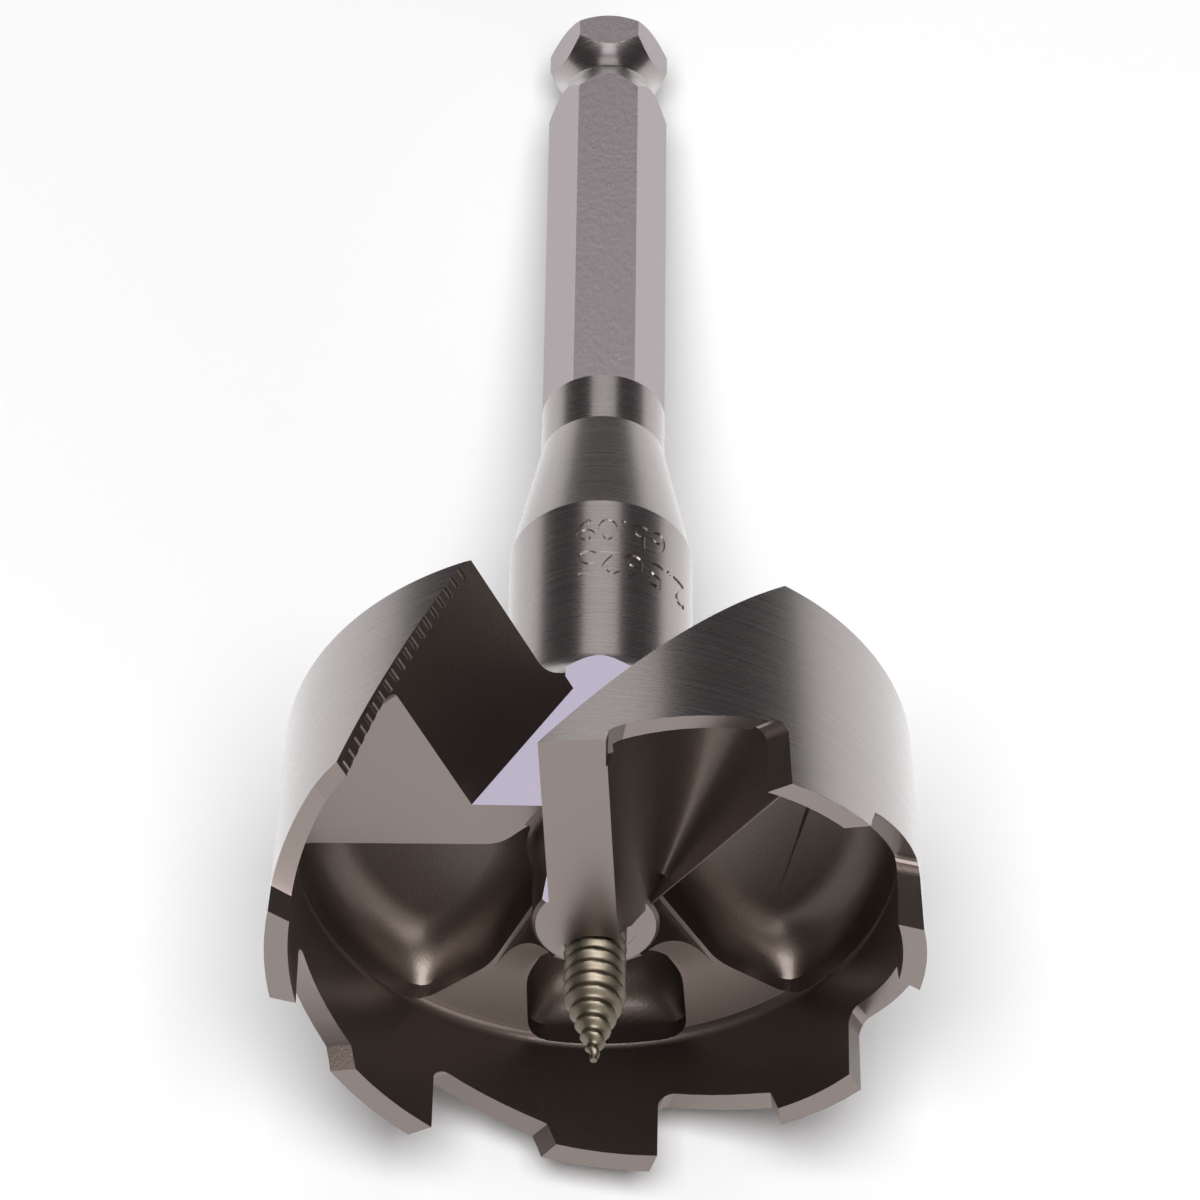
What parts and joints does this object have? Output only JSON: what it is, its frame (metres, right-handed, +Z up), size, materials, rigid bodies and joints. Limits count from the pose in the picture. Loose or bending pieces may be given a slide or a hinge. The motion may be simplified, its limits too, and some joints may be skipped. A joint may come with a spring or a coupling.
{
  "type": "self-feed wood bit",
  "caption": "Self-feed wood boring bit: toothed cup head with a cutter blade, side chip opening, replaceable feed screw and hexagonal quick-change shank.",
  "frame": {"origin": "centre of the bounding box's bottom, on the bench the bit lies on", "axes": "+Y from the feed screw towards the shank's end, in plan; +Z up, the chip opening faces up"},
  "size_m": [0.065, 0.1428, 0.0686],
  "materials": {
    "ground_tool_steel": "dark polished, turned and ground",
    "bright_screw_steel": "bright, cut thread",
    "black_oxide_steel": "black oxide, satin"
  },
  "bodies": {
    "root": {"bit_body": "ground_tool_steel", "feed_screw": "bright_screw_steel", "set_screw": "black_oxide_steel"}
  },
  "joints": []
}
